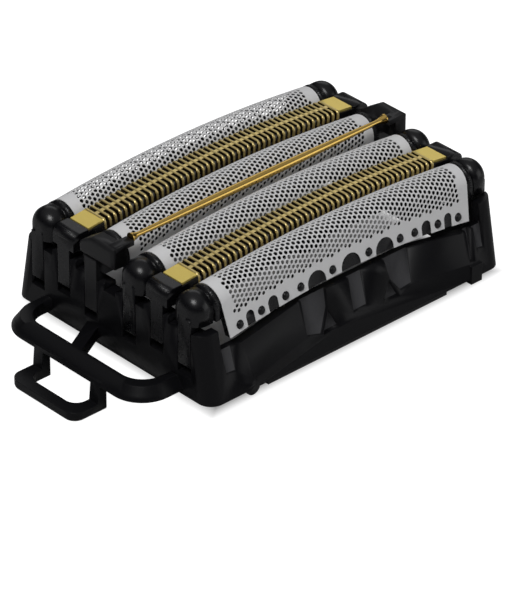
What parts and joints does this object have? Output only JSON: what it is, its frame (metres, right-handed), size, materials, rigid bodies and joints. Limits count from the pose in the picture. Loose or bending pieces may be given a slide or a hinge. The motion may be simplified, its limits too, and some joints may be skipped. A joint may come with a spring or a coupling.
{
  "type": "shaver foil head",
  "caption": "Outer foil cassette of an electric shaver: a moulded ring with floating arched foils, slit trimmers, a skin roller and a release loop.",
  "frame": {"origin": "centre of the ring on the plane of its foot", "axes": "+X along the foils, away from the release loop, +Z towards the shaving side, -Y the side shown in front"},
  "size_m": [0.0623, 0.0376, 0.019],
  "materials": {
    "black_plastic": "gloss",
    "foil_steel": "polished",
    "gold_coat": "satin",
    "cutter_steel": "satin",
    "slider_plastic": "matte"
  },
  "bodies": {
    "frame": {"cassette_frame": "black_plastic"},
    "unit_front_outer": {"foil_front_outer": "foil_steel", "holder_front_outer": "black_plastic"},
    "unit_front_inner": {"foil_front_inner": "foil_steel", "holder_front_inner": "black_plastic"},
    "unit_rear_inner": {"foil_rear_inner": "foil_steel", "holder_rear_inner": "black_plastic"},
    "unit_rear_outer": {"foil_rear_outer": "foil_steel", "holder_rear_outer": "black_plastic"},
    "unit_slit_front": {"slit_blade_front": "gold_coat", "slit_carrier_front": "black_plastic"},
    "unit_slit_rear": {"slit_blade_rear": "gold_coat", "slit_carrier_rear": "black_plastic"},
    "cutter_front": {"slit_cutter_front": "cutter_steel", "slit_slider_front": "slider_plastic", "slit_spring_front": "cutter_steel"},
    "cutter_rear": {"slit_cutter_rear": "cutter_steel", "slit_slider_rear": "slider_plastic", "slit_spring_rear": "cutter_steel"},
    "roller": {"skin_roller": "gold_coat"}
  },
  "joints": [
    {"name": "float_front_outer", "type": "slide", "parent": "frame", "child": "unit_front_outer", "axis": [0, 0, 1], "range_m": [-0.0007, 0]},
    {"name": "float_front_inner", "type": "slide", "parent": "frame", "child": "unit_front_inner", "axis": [0, 0, 1], "range_m": [-0.0007, 0]},
    {"name": "float_rear_inner", "type": "slide", "parent": "frame", "child": "unit_rear_inner", "axis": [0, 0, 1], "range_m": [-0.0007, 0]},
    {"name": "float_rear_outer", "type": "slide", "parent": "frame", "child": "unit_rear_outer", "axis": [0, 0, 1], "range_m": [-0.0007, 0]},
    {"name": "float_slit_front", "type": "slide", "parent": "frame", "child": "unit_slit_front", "axis": [0, 0, 1], "range_m": [-0.0007, 0]},
    {"name": "float_slit_rear", "type": "slide", "parent": "frame", "child": "unit_slit_rear", "axis": [0, 0, 1], "range_m": [-0.0007, 0]},
    {"name": "cutter_stroke_front", "type": "slide", "parent": "unit_slit_front", "child": "cutter_front", "axis": [1, 0, 0], "range_m": [-0.0009, 0.0009]},
    {"name": "cutter_stroke_rear", "type": "slide", "parent": "unit_slit_rear", "child": "cutter_rear", "axis": [1, 0, 0], "range_m": [-0.0009, 0.0009]},
    {"name": "roller_spin", "type": "hinge", "parent": "unit_rear_inner", "child": "roller", "pos_m": [0, 0, 0.0151], "axis": [1, 0, 0], "continuous": true}
  ]
}
